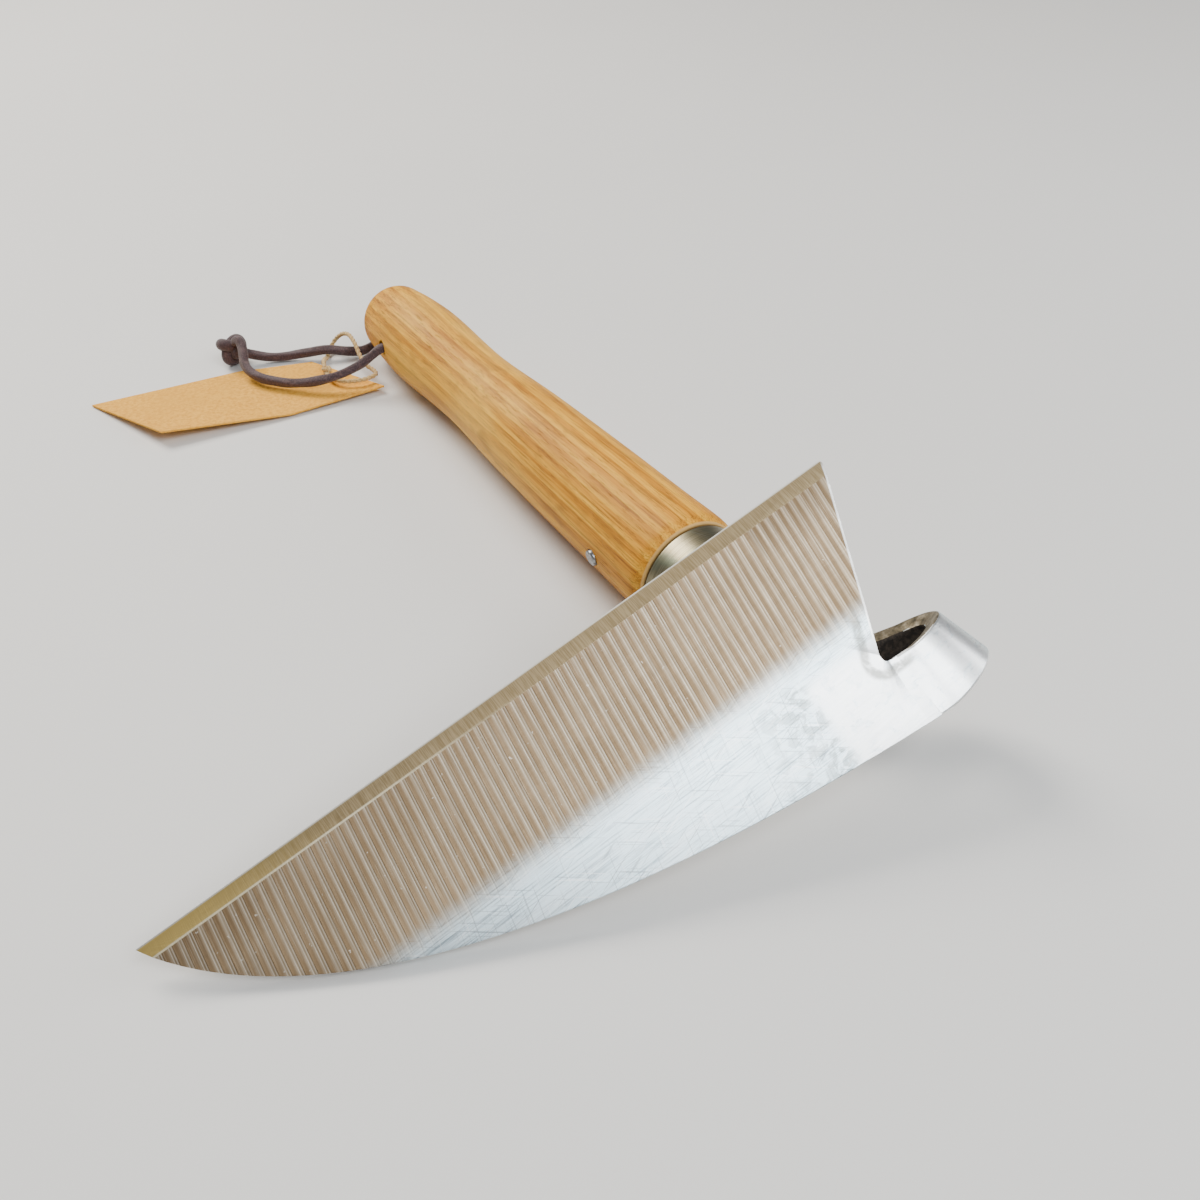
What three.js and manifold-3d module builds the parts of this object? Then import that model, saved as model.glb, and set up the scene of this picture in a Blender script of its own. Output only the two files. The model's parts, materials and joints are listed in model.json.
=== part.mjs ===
// A half-moon hand hoe: a flat blade, a strap neck welded to its heel that doubles back behind it,
// a tang held in a turned wooden handle by a ferrule and a cross pin, a leather thong and a card tag.
//
// The tool is drawn in its own design frame, in millimetres:
//   x runs along the cutting edge from the tip to the heel,
//   y runs from the cutting edge to the curved back,
//   z runs from the front face to the rear face, the side that the handle is on.
// It is then turned as it lies on a flat surface, which is z = 0 of the finished part.
import * as THREE from "three";
import { mergeVertices } from "three/addons/utils/BufferGeometryUtils.js";
import Module from "manifold-3d";

const wasm = await Module();
wasm.setup();

// ---------------------------------------------------------------- driving dimensions
const gap = 0.3; // between two pieces that touch, or a piece and what is cut for it

const edgeLength = 161; // cutting edge, tip to heel
const bladeDepth = 54.9; // cutting edge to the back, at the neck
const plateThickness = 2.8;
const grindWidth = 29.5; // wide ground facet on the front face
const edgeThickness = 1.0; // left at the cutting edge by that facet
const bevelWidth = 3.3; // narrow sharpening bevel
const bevelDepth = 0.7;
const heelLean = 24; // degrees, how far the heel side leans back over the blade
const notchRounding = 3.1; // along each side of the notch, where the heel side meets the strap
const seamFromNotch = 3.6; // the weld between the plate and the neck
// Control points of the curved back, as shares of the edge's length and of the blade's depth.
const backControls = [[0.447, 0.87], [0.118, 0.57]];

const strapWidth = 14.3;
const strapNarrowing = 1.4; // round the bend
const strapThickness = 4.3;
const bendFromSeam = 7.9; // centre of the neck's return bend
const bendRadius = 7.8; // to the middle of the strap
const returnDrop = 5.5; // how far the strap climbs towards the edge round the bend

const handleFromSeam = 11.5; // the handle's axis, back along the cutting edge
const axisFootFromBack = 3.8; // beyond the back, where that axis would meet the front of the plate
const handleAngle = 35.4; // degrees, between the axis and the plate
const woodReach = 73.2; // from that foot to the front end of the wood
const handleLength = 172.5;
const handleEndRadius = 13.7; // at the rim that the ferrule meets
const frontRadius = 14.55; // thickest ring, just behind the rounded rim
const frontFromRim = 3.5;
const gripRadius = 13.95;
const gripFromRim = 43;
const waistRadius = 11.8;
const waistFromButt = 64;
const flareRadius = 12.9;
const flareFromButt = 31;
const buttRadius = 11.4; // where the rounded butt ends
const buttDome = 8.5;
const rimRounding = 0.8;

const ferruleRadius = 13.2;
const ferruleWall = 1.2;
const ferruleLength = 17; // in front of the wood's rim
const ferruleNose = 3; // rounding of its closed front
const spigotLength = 14; // wood inside the ferrule

const tangRadius = 4.2; // where it enters the wood
const tangTipRadius = 2.6;
const tangDepth = 78; // past the wood's rim
const pinRadius = 2.1;
const pinFromEnd = 21; // cross pin, from the wood's rim
const pinProud = 0.7;
const woodFallAtPin = 0.25; // how much thinner the wood is there than at its thickest ring
const pinTurn = 9; // degrees, the pin and the thong hole are turned this far about the handle's axis
const thongHoleTurn = 20;
const thongHoleFromButt = 24;
const thongHoleRadius = 2.3;

const thongDiameter = 3.0;
const knotDiameter = 10.5;
const stringDiameter = 1.5;
const tagThickness = 0.6;
const handleYaw = 31.3; // degrees, the butt's direction to the left of +Y as the tool lies

// ---------------------------------------------------------------- shared geometry
const radians = THREE.MathUtils.degToRad;
const at = (x, y, z) => new THREE.Vector3(x, y, z);
const axis = at(0, -Math.cos(radians(handleAngle)), Math.sin(radians(handleAngle)));
const notchY = bladeDepth - strapWidth;
const heelX = (y) => edgeLength - y * Math.tan(radians(heelLean));
const seamX = heelX(notchY) + seamFromNotch;
const bendX = seamX + bendFromSeam;
const handleX = seamX - handleFromSeam;
const axisFoot = at(handleX, bladeDepth + axisFootFromBack, 0);
// The handle's own frame: origin at the wood's rim, +y towards the butt, +x along the cutting edge.
const handleTurn = new THREE.Quaternion().setFromUnitVectors(at(0, 1, 0), axis);
const woodEnd = axisFoot.clone().addScaledVector(axis, woodReach);
const alongAxis = (s) => woodEnd.clone().addScaledVector(axis, s);
// A direction square to the handle's axis, turned about it from the cutting edge's direction.
const acrossHandle = (turn) =>
  at(
    Math.cos(radians(turn)),
    Math.sin(radians(turn)) * Math.sin(radians(handleAngle)),
    Math.sin(radians(turn)) * Math.cos(radians(handleAngle)),
  );
const grindAngle = Math.atan((plateThickness - edgeThickness) / grindWidth);

function solidOf(geometry) {
  const plain = geometry.index ? geometry.toNonIndexed() : geometry.clone();
  plain.deleteAttribute("normal");
  plain.deleteAttribute("uv");
  const merged = mergeVertices(plain, 1e-4);
  return new wasm.Manifold(
    new wasm.Mesh({
      numProp: 3,
      vertProperties: merged.attributes.position.array,
      triVerts: new Uint32Array(merged.index.array),
    }),
  );
}

function geometryOf(solid) {
  const mesh = solid.getMesh();
  const geometry = new THREE.BufferGeometry();
  geometry.setAttribute("position", new THREE.BufferAttribute(mesh.vertProperties, 3));
  geometry.setIndex(new THREE.BufferAttribute(mesh.triVerts, 1));
  return geometry;
}

// A rod between two points, for pins and for the holes that take them.
function rod(from, to, radius, sides = 24) {
  const length = from.distanceTo(to);
  const turn = new THREE.Quaternion().setFromUnitVectors(at(0, 1, 0), to.clone().sub(from).normalize());
  const geometry = new THREE.CylinderGeometry(radius, radius, length, sides);
  geometry.applyQuaternion(turn);
  const middle = from.clone().add(to).multiplyScalar(0.5);
  return geometry.translate(middle.x, middle.y, middle.z);
}

// Bends a unit cylinder along a curve. size(t) gives the section's width, thickness and squareness.
function bentBar(curve, firstWidth, size, sides, steps) {
  const geometry = new THREE.CylinderGeometry(1, 1, 1, sides, steps);
  const frames = [];
  let width = firstWidth.clone();
  for (let i = 0; i <= steps; i += 1) {
    const tangent = curve.getTangentAt(i / steps);
    width = width.clone().addScaledVector(tangent, -width.dot(tangent)).normalize();
    frames.push({ centre: curve.getPointAt(i / steps), width, thick: tangent.clone().cross(width) });
  }
  const position = geometry.attributes.position;
  for (let i = 0; i < position.count; i += 1) {
    const step = Math.round((0.5 - position.getY(i)) * steps);
    const { centre, width: across, thick } = frames[step];
    const section = size(step / steps);
    const round = 2 / section.squareness;
    const side = (value) => (Math.abs(value) < 1e-6 ? 0 : Math.sign(value) * Math.abs(value) ** round);
    const point = centre.clone();
    point.addScaledVector(across, (side(position.getX(i)) * section.width) / 2);
    point.addScaledVector(thick, (side(position.getZ(i)) * section.thickness) / 2);
    position.setXYZ(i, point.x, point.y, point.z);
  }
  return geometry;
}

// A cord: a round section swept along a smooth curve through its points.
function cord(points, diameter, steps) {
  const curve = new THREE.CatmullRomCurve3(points.map((p) => at(...p)), false, "centripetal");
  const section = new THREE.Shape().absarc(0, 0, diameter / 2, 0, 2 * Math.PI);
  return new THREE.ExtrudeGeometry(section, { extrudePath: curve, steps, curveSegments: 8 });
}

// ---------------------------------------------------------------- blade
function bladeOutline() {
  const outline = new THREE.Shape();
  outline.moveTo(0, 0);
  outline.lineTo(edgeLength, 0);
  const cornerY = notchY - notchRounding * Math.cos(radians(heelLean));
  outline.lineTo(heelX(cornerY), cornerY);
  outline.quadraticCurveTo(heelX(notchY), notchY, heelX(notchY) + notchRounding, notchY);
  outline.lineTo(seamX - gap, notchY);
  outline.lineTo(seamX - gap, bladeDepth);
  const controls = backControls.map(([along, rise]) => [along * edgeLength, rise * bladeDepth]);
  outline.bezierCurveTo(...controls[0], ...controls[1], 0, 0);
  return outline;
}

function bladeSection() {
  const front = plateThickness - edgeThickness;
  const past = bladeDepth + 5; // beyond the back, so that the outline makes the back's own edge
  const section = new THREE.Shape();
  section.moveTo(-1, plateThickness);
  section.lineTo(-1, front + bevelDepth);
  section.lineTo(0, front + bevelDepth);
  section.lineTo(bevelWidth, front - Math.tan(grindAngle) * bevelWidth);
  section.lineTo(grindWidth, 0);
  section.lineTo(past, 0);
  section.lineTo(past, plateThickness);
  return section;
}

function bladeGeometry() {
  const plate = new THREE.ExtrudeGeometry(bladeOutline(), {
    depth: plateThickness,
    bevelEnabled: false,
    curveSegments: 40,
  });
  const wedge = new THREE.ExtrudeGeometry(bladeSection(), { depth: edgeLength + 20, bevelEnabled: false });
  // The section is drawn in y and z: turn its plane upright and run it along x.
  wedge.applyMatrix4(new THREE.Matrix4().makeBasis(at(0, 1, 0), at(0, 0, 1), at(1, 0, 0)));
  wedge.translate(-10, 0, 0);
  return geometryOf(solidOf(plate).intersect(solidOf(wedge)));
}

// ---------------------------------------------------------------- neck and tang
const tangShoulder = tangRadius + 0.6; // a little thicker in front of the wood
const strapY = bladeDepth - strapWidth / 2;
const bendTop = strapThickness / 2 + bendRadius;

function neckCurve() {
  const points = [at(seamX - 3, strapY - 0.3, plateThickness / 2)];
  points.push(at(seamX + 4, strapY + 0.15, strapThickness / 2));
  for (let i = 0; i <= 6; i += 1) {
    const turn = radians(-90 + 30 * i);
    const climb = strapY - 0.3 - (returnDrop * i) / 6;
    points.push(at(bendX + bendRadius * Math.cos(turn), climb, bendTop + bendRadius * Math.sin(turn)));
  }
  const meet = alongAxis(-42);
  points.push(at(handleX + 9, meet.y + 4.5, meet.z + 0.8));
  for (const s of [-34, -22, -10, 0, 30, tangDepth - gap]) points.push(alongAxis(s));
  return new THREE.CatmullRomCurve3(points, false, "centripetal");
}

function neckGeometry() {
  const curve = neckCurve();
  const length = curve.getLength();
  const free = 1 - (tangDepth + ferruleLength) / length; // share of the length in front of the ferrule
  const mix = THREE.MathUtils.lerp;
  const size = (t) => {
    const strap = THREE.MathUtils.smoothstep(t, 0.42 * free, 0.9 * free);
    const thickening = THREE.MathUtils.smoothstep(t, 0, 0.08 * free);
    const bend = THREE.MathUtils.smoothstep(t, 0.05 * free, 0.3 * free);
    const tang = THREE.MathUtils.smoothstep(t, free, 1);
    const round = 2 * mix(tangShoulder, tangTipRadius, tang);
    return {
      width: mix(strapWidth - strapNarrowing * bend, round, strap),
      thickness: mix(mix(plateThickness, strapThickness, thickening), round, strap),
      squareness: mix(8, 2.6, strap),
    };
  };
  const bar = solidOf(bentBar(curve, at(0, 1, 0), size, 16, 60));
  const squared = new THREE.BoxGeometry(20, 40, 20).translate(seamX - 10, strapY, 0);
  return geometryOf(bar.subtract(solidOf(squared)).subtract(solidOf(pinGeometry(pinRadius + gap, 20))));
}

// ---------------------------------------------------------------- handle, ferrule and pin
// Everything here is turned about the handle's axis; place() carries it into the design frame.
function place(geometry) {
  geometry.applyQuaternion(handleTurn);
  return geometry.translate(woodEnd.x, woodEnd.y, woodEnd.z);
}

function handleProfile() {
  const fromEnd = (s) => handleLength - s;
  const between = (one, other, alongShare, radiusShare) =>
    new THREE.Vector2(
      THREE.MathUtils.lerp(one.x, other.x, radiusShare),
      THREE.MathUtils.lerp(one.y, other.y, alongShare),
    );
  const rim = new THREE.Vector2(handleEndRadius, rimRounding);
  const front = new THREE.Vector2(frontRadius, frontFromRim);
  const grip = new THREE.Vector2(gripRadius, gripFromRim);
  const waist = new THREE.Vector2(waistRadius, fromEnd(waistFromButt));
  const flare = new THREE.Vector2(flareRadius, fromEnd(flareFromButt));
  const butt = new THREE.Vector2(buttRadius, fromEnd(buttDome));
  const rings = [
    rim, between(rim, front, 0.4, 0.75), front, between(front, grip, 0.35, 0.42), grip,
    between(grip, waist, 0.53, 0.4), waist, flare, between(flare, butt, 0.6, 0.4), butt,
  ];
  const points = new THREE.SplineCurve(rings).getPoints((rings.length - 1) * 3);
  for (let i = 1; i <= 6; i += 1) {
    const turn = (i / 6) * (Math.PI / 2);
    points.push(new THREE.Vector2(buttRadius * Math.cos(turn), fromEnd(buttDome) + buttDome * Math.sin(turn)));
  }
  points[points.length - 1].x = 0;
  return points;
}

const spigotRadius = ferruleRadius - ferruleWall - gap;
const spigotChamfer = 0.6;
const boreRadius = 1.08 * tangShoulder + gap; // the tang's section bulges a little past a circle
const boreStraight = 0.4; // share of the tang's depth, then the bore tapers
const boreEndShare = 0.8; // of its radius

function handleGeometry() {
  const profile = [
    new THREE.Vector2(0, tangDepth + gap),
    new THREE.Vector2(boreRadius * boreEndShare, tangDepth + gap),
    new THREE.Vector2(boreRadius, tangDepth * boreStraight),
    new THREE.Vector2(boreRadius, -spigotLength),
    new THREE.Vector2(spigotRadius - spigotChamfer, -spigotLength),
    new THREE.Vector2(spigotRadius, -spigotLength + spigotChamfer),
    new THREE.Vector2(spigotRadius, 0),
    new THREE.Vector2(handleEndRadius - rimRounding, 0),
    ...handleProfile(),
  ];
  const wood = solidOf(place(new THREE.LatheGeometry(profile, 40)));
  const pinHole = solidOf(pinGeometry(pinRadius + gap, 20));
  const across = acrossHandle(thongHoleTurn).multiplyScalar(flareRadius + 5);
  const centre = alongAxis(handleLength - thongHoleFromButt);
  const thongHole = solidOf(rod(centre.clone().sub(across), centre.clone().add(across), thongHoleRadius));
  return geometryOf(wood.subtract(pinHole).subtract(thongHole));
}

function ferruleGeometry() {
  const outer = ferruleRadius;
  const inner = ferruleRadius - ferruleWall;
  const noseHole = boreRadius + gap;
  const profile = [new THREE.Vector2(outer, -gap), new THREE.Vector2(inner, -gap)];
  profile.push(new THREE.Vector2(inner, -ferruleLength + ferruleWall));
  profile.push(new THREE.Vector2(noseHole, -ferruleLength + ferruleWall));
  profile.push(new THREE.Vector2(noseHole, -ferruleLength));
  for (let i = 0; i <= 5; i += 1) {
    const turn = (i / 5) * (Math.PI / 2);
    const x = outer - ferruleNose + ferruleNose * Math.sin(turn);
    profile.push(new THREE.Vector2(x, -ferruleLength + ferruleNose - ferruleNose * Math.cos(turn)));
  }
  profile.push(profile[0].clone());
  return place(new THREE.LatheGeometry(profile, 48));
}

function pinGeometry(radius, extra = 0) {
  const centre = alongAxis(pinFromEnd);
  const across = acrossHandle(pinTurn).multiplyScalar(frontRadius - woodFallAtPin + pinProud + extra);
  return rod(centre.clone().sub(across), centre.clone().add(across), radius);
}

// ---------------------------------------------------------------- thong, string and tag
// These lie on the surface, so their points are in the finished frame: z = 0 is the surface.
const thongFront = [
  [-53.4, 100.0, 12.8], [-58.5, 96.9, 13.1], [-64.2, 93.4, 13.3], [-67.6, 91.6, 11.4],
  [-71.0, 90.3, 9.5], [-75.2, 89.2, 7.9], [-80.6, 88.2, 6.5], [-86.2, 88.5, 5.3],
  [-92.0, 89.8, 4.3], [-98.0, 91.7, 4.0], [-103.5, 94.2, 4.1], [-107.6, 97.4, 4.6],
  [-110.0, 100.8, 5.8], [-110.8, 104.0, 7.6], [-111.6, 106.9, 9.2], [-112.8, 108.7, 10.2],
];
const thongBack = [
  [-52.4, 100.6, 12.8], [-47.5, 103.6, 12.5], [-42.4, 106.7, 12.2], [-39.8, 109.0, 10.9],
  [-41.2, 113.0, 8.4], [-45.4, 117.6, 5.8], [-50.0, 122.4, 3.4], [-56.6, 125.9, 2.0],
  [-63.6, 126.0, 1.8], [-69.0, 122.4, 1.8], [-72.2, 117.4, 1.8], [-75.0, 114.4, 2.0],
  [-79.4, 113.2, 2.7], [-86.2, 112.8, 3.6], [-93.4, 112.8, 2.7], [-99.6, 112.6, 1.9],
  [-105.4, 111.9, 2.2], [-110.6, 111.5, 3.6],
];
const knotCentre = [-116.7, 112.2, 5.35];
const stringLoop = [
  [-84.4, 99.9, 3.9], [-85.6, 104.6, 3.5], [-86.3, 109.2, 2.1], [-86.3, 113.0, 0.85],
  [-86.0, 116.6, 1.5], [-84.4, 118.2, 3.8], [-81.4, 117.0, 6.8], [-78.0, 113.2, 8.6],
  [-75.4, 108.6, 7.8], [-73.4, 104.2, 5.6], [-71.0, 100.2, 4.2], [-68.4, 97.4, 3.9],
  [-67.2, 94.6, 3.9], [-69.4, 92.0, 3.9], [-73.6, 90.8, 3.8], [-78.0, 91.4, 3.6],
  [-81.4, 93.8, 3.5], [-83.6, 97.2, 3.5],
];
// The tag's long edges, nearest and farthest from the blade, from its free end to its tied end.
const tagNear = [[-127.0, 62.5, 5.0], [-91.3, 76.2, 1.6], [-64.3, 90.1, 2.5]];
const tagFar = [[-156.4, 86.6, 1.1], [-114.2, 105.4, 1.0], [-91.0, 110.4, 1.0]];
const tagCrease = 0.55; // share of its length
const tagHole = [-84.2, 98.6];
const tagHoleRadius = 2.2;

function knotGeometry() {
  return new THREE.SphereGeometry(knotDiameter / 2, 20, 14).translate(...knotCentre);
}

// A point on a long edge of the tag, which is creased part of the way along.
function onEdge(edge, share) {
  const [start, crease, end] = edge.map((p) => at(...p));
  if (share < tagCrease) return start.lerp(crease, share / tagCrease);
  return crease.lerp(end, (share - tagCrease) / (1 - tagCrease));
}

function tagGeometry() {
  const card = new THREE.BoxGeometry(1, 1, tagThickness, 20, 6, 1);
  const position = card.attributes.position;
  for (let i = 0; i < position.count; i += 1) {
    const along = position.getX(i) + 0.5;
    const near = onEdge(tagNear, along);
    const point = onEdge(tagFar, along).lerp(near, 0.5 - position.getY(i));
    position.setXYZ(i, point.x, point.y, point.z + position.getZ(i));
  }
  const hole = rod(at(...tagHole, -5), at(...tagHole, 15), tagHoleRadius, 16);
  return geometryOf(solidOf(card).subtract(solidOf(hole)));
}

// ---------------------------------------------------------------- how the tool lies
// It rests on the handle's flare and its thick front ring, and on the lower rear edge of the blade. The
// direction of down is found by laying a plane under those three, starting from a fair guess.
function restDown() {
  const rings = [
    { centre: alongAxis(handleLength - flareFromButt), radius: flareRadius },
    { centre: alongAxis(frontFromRim), radius: frontRadius },
  ];
  const backPoints = bladeOutline().getPoints(60);
  let down = at(-0.3, 0.45, 0.84).normalize();
  for (let i = 0; i < 30; i += 1) {
    const low = rings.map(({ centre, radius }) => {
      const out = down.clone().addScaledVector(axis, -down.dot(axis)).normalize();
      return centre.clone().addScaledVector(out, radius);
    });
    const edge = backPoints.map((p) => at(p.x, p.y, plateThickness));
    const lowest = edge.reduce((best, p) => (p.dot(down) > best.dot(down) ? p : best));
    const normal = low[1].clone().sub(low[0]).cross(lowest.clone().sub(low[0])).normalize();
    down = normal.dot(down) < 0 ? normal.negate() : normal;
  }
  return down;
}

function restMatrix() {
  const up = restDown().negate();
  const butt = axis.clone().addScaledVector(up, -axis.dot(up)).normalize();
  const side = butt.clone().cross(up);
  // Rows of the turn: side, butt direction and up become the finished part's x, y and z.
  const turn = new THREE.Matrix4().makeBasis(side, butt, up).transpose();
  return new THREE.Matrix4().makeRotationZ(radians(handleYaw)).multiply(turn);
}

// ---------------------------------------------------------------- materials
const steel = (color, roughness) => new THREE.MeshStandardMaterial({ color, roughness, metalness: 1 });
const soft = (color, roughness) => new THREE.MeshStandardMaterial({ color, roughness, metalness: 0 });
const satinSteel = steel(0xb9b6ae, 0.35);
const polishedSteel = steel(0xc4c7c6, 0.18);
const ashWood = soft(0xc99a5b, 0.5);

// ---------------------------------------------------------------- assembly
const tool = new THREE.Group();
function add(parent, name, geometry, material) {
  const mesh = new THREE.Mesh(geometry, material);
  mesh.name = name;
  parent.add(mesh);
  return mesh;
}

add(tool, "blade", bladeGeometry(), satinSteel);
add(tool, "neck", neckGeometry(), satinSteel);
add(tool, "handle", handleGeometry(), ashWood);
add(tool, "ferrule", ferruleGeometry(), polishedSteel);
add(tool, "cross_pin", pinGeometry(pinRadius), polishedSteel);

tool.applyMatrix4(restMatrix());
tool.updateMatrixWorld(true);
const box = new THREE.Box3().setFromObject(tool, true);
tool.position.add(at(-(box.min.x + box.max.x) / 2, -(box.min.y + box.max.y) / 2, -box.min.z));

const leather = soft(0x3d2a2c, 0.75);
const part = new THREE.Group();
part.add(tool);
add(part, "thong_front", cord(thongFront, thongDiameter, 30), leather);
add(part, "thong_back", cord(thongBack, thongDiameter, 36), leather);
add(part, "thong_knot", knotGeometry(), leather);
add(part, "tag_string", cord(stringLoop, stringDiameter, 40), soft(0xcdbb95, 0.9));
add(part, "tag", tagGeometry(), soft(0xc39a68, 0.85));
export default part;
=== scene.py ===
import json
import math

import bmesh
import bpy
from mathutils import Matrix, Vector

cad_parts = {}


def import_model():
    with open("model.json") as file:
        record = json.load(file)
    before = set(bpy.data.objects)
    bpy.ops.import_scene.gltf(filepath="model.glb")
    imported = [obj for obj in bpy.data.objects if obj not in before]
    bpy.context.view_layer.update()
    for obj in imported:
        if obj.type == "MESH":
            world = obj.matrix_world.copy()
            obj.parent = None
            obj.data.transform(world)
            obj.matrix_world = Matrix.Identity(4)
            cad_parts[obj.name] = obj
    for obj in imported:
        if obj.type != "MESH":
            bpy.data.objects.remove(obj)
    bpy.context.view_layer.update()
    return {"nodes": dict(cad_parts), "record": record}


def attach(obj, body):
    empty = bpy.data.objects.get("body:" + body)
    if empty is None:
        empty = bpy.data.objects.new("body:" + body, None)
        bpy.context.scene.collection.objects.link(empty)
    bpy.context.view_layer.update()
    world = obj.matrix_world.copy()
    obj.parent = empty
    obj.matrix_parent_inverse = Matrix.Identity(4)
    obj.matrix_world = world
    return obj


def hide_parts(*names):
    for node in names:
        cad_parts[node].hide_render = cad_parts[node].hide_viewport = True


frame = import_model()

# Sizes are in millimetres in the hoe's own frames. The matrices below carry them to metres.
MM = 0.001

# Blade: x along the cutting edge from tip to heel, y from the edge to the back, z front to rear.
EDGE_LENGTH = 161.0
BLADE_DEPTH = 54.9
PLATE_THICKNESS = 2.8
GRIND_WIDTH = 29.5
EDGE_THICKNESS = 1.0
BEVEL_WIDTH = 3.3
BEVEL_DEPTH = 0.7
HEEL_LEAN = math.radians(24)
NOTCH_ROUNDING = 3.1
BACK_CONTROLS = ((0.447, 0.87), (0.118, 0.57))
BACK_ROUNDING = 0.5
HEEL_ROUNDING = 0.35
HEEL_CORNER = 1.3

# Grooves left by the grinding wheel.
GROOVE_PITCH = 2.095
GROOVE_LEAN = math.radians(7.7)
GROOVE_DEPTH = 0.05
GROOVE_FADE = (26.5, 31.0)
GROOVE_CUTS = (0.0, 0.12, 0.5, 0.88)

# Weld marks near the heel, and the start of a painted highlight beside them, along the cutting edge.
WELD_GHOST = (112.0, 127.5)
NECK_HIGHLIGHT_START = (125.5, 129.5)

# Neck.
STRAP_WIDTH = 14.3
STRAP_NARROWING = 1.4
STRAP_THICKNESS = 4.3
NOTCH_Y = BLADE_DEPTH - STRAP_WIDTH
NOTCH_X = EDGE_LENGTH - NOTCH_Y * math.tan(HEEL_LEAN)
SEAM_X = NOTCH_X + 3.6
BEND_X = SEAM_X + 7.9
BEND_RADIUS = 7.8
RETURN_DROP = 5.5

# Handle, ferrule and pin.
HANDLE_X = SEAM_X - 11.5
HANDLE_ANGLE = math.radians(35.4)
AXIS_FOOT_Y = BLADE_DEPTH + 3.8
WOOD_REACH = 73.2
HANDLE_LENGTH = 172.5
HANDLE_END_RADIUS = 13.7
RIM_ROUNDING = 0.8
FRONT_RADIUS = 14.55
FRONT_FROM_RIM = 3.5
GRIP_RADIUS = 13.95
GRIP_FROM_RIM = 43.0
WAIST_RADIUS = 11.8
WAIST_FROM_BUTT = 64.0
FLARE_RADIUS = 12.9
FLARE_FROM_BUTT = 31.0
BUTT_RADIUS = 11.4
BUTT_DOME = 8.5
TANG_SHOULDER = 4.8
TANG_TIP_RADIUS = 2.6
TANG_DEPTH = 78.0
TANG_BULGE = 1.08
BORE_STRAIGHT = 0.4
BORE_END_SHARE = 0.8
SPIGOT_LENGTH = 14.0
SPIGOT_CHAMFER = 0.6
FERRULE_RADIUS = 13.2
FERRULE_LENGTH = 17.0
FERRULE_WALL = 1.2
FERRULE_NOSE = 3.0
FERRULE_EDGE_BREAK = 0.25
GAP = 0.3
PIN_RADIUS = 2.1
PIN_FROM_END = 21.0
PIN_PROUD = 0.7
PIN_HEAD_ROUNDING = 0.55
WOOD_FALL_AT_PIN = 0.25
PIN_TURN = math.radians(9)
THONG_HOLE_TURN = math.radians(20)
THONG_HOLE_FROM_BUTT = 24.0
THONG_HOLE_RADIUS = 2.3

# Soft pieces.
THONG_DIAMETER = 3.0
STRING_DIAMETER = 1.5
STRING_TURN_LENGTH = 3.2
TAG_THICKNESS = 0.6


# ---------------------------------------------------------------- frames
def blade_frame():
    """The blade's own frame in millimetres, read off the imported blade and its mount."""
    mount = frame["record"]["mounts"][0]
    rear = Vector(mount["axis"]).normalized()
    points = [vertex.co for vertex in frame["nodes"]["blade"].data.vertices]
    tip = min(points, key=lambda p: p.x)
    heel = max(points, key=lambda p: p.z)
    along = heel - tip
    along = (along - rear * along.dot(rear)).normalized()
    depth = rear.cross(along)
    origin = tip - rear * (PLATE_THICKNESS * MM)
    matrix = Matrix((along * MM, depth * MM, rear * MM)).transposed().to_4x4()
    matrix.translation = origin
    return matrix


BLADE = blade_frame()
AXIS = Vector((0, -math.cos(HANDLE_ANGLE), math.sin(HANDLE_ANGLE)))
WOOD_END = Vector((HANDLE_X, AXIS_FOOT_Y, 0)) + AXIS * WOOD_REACH


def handle_frame():
    """The handle's own frame: z from the wood's front end to the butt, x along the cutting edge."""
    across = Vector((1, 0, 0))
    turn = Matrix((across, AXIS.cross(across), AXIS)).transposed().to_4x4()
    return BLADE @ Matrix.Translation(WOOD_END) @ turn


HANDLE = handle_frame()
SURFACE = Matrix.Scale(MM, 4)


# ---------------------------------------------------------------- shader building
class Wire:
    """A socket that can be used in sums: each operator adds a Math node."""

    def __init__(self, finish, socket):
        self.finish = finish
        self.socket = socket

    def math(self, operation, *others):
        return self.finish.add("Math", {"operation": operation}, [self, *others])

    def __add__(self, other):
        return self.math("ADD", other)

    def __sub__(self, other):
        return self.math("SUBTRACT", other)

    def __rsub__(self, other):
        return self.finish.add("Math", {"operation": "SUBTRACT"}, [other, self])

    def __mul__(self, other):
        return self.math("MULTIPLY", other)

    def __truediv__(self, other):
        return self.math("DIVIDE", other)

    __radd__ = __add__
    __rmul__ = __mul__

    def rise(self, low, high):
        """0 below low, 1 above high, and smooth between."""
        settings = {"interpolation_type": "SMOOTHSTEP"}
        return self.finish.add("MapRange", settings, {"Value": self, "From Min": low, "From Max": high})

    def band(self, low, high, soft):
        return self.rise(low - soft, low + soft) * (1 - self.rise(high - soft, high + soft))


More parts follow.
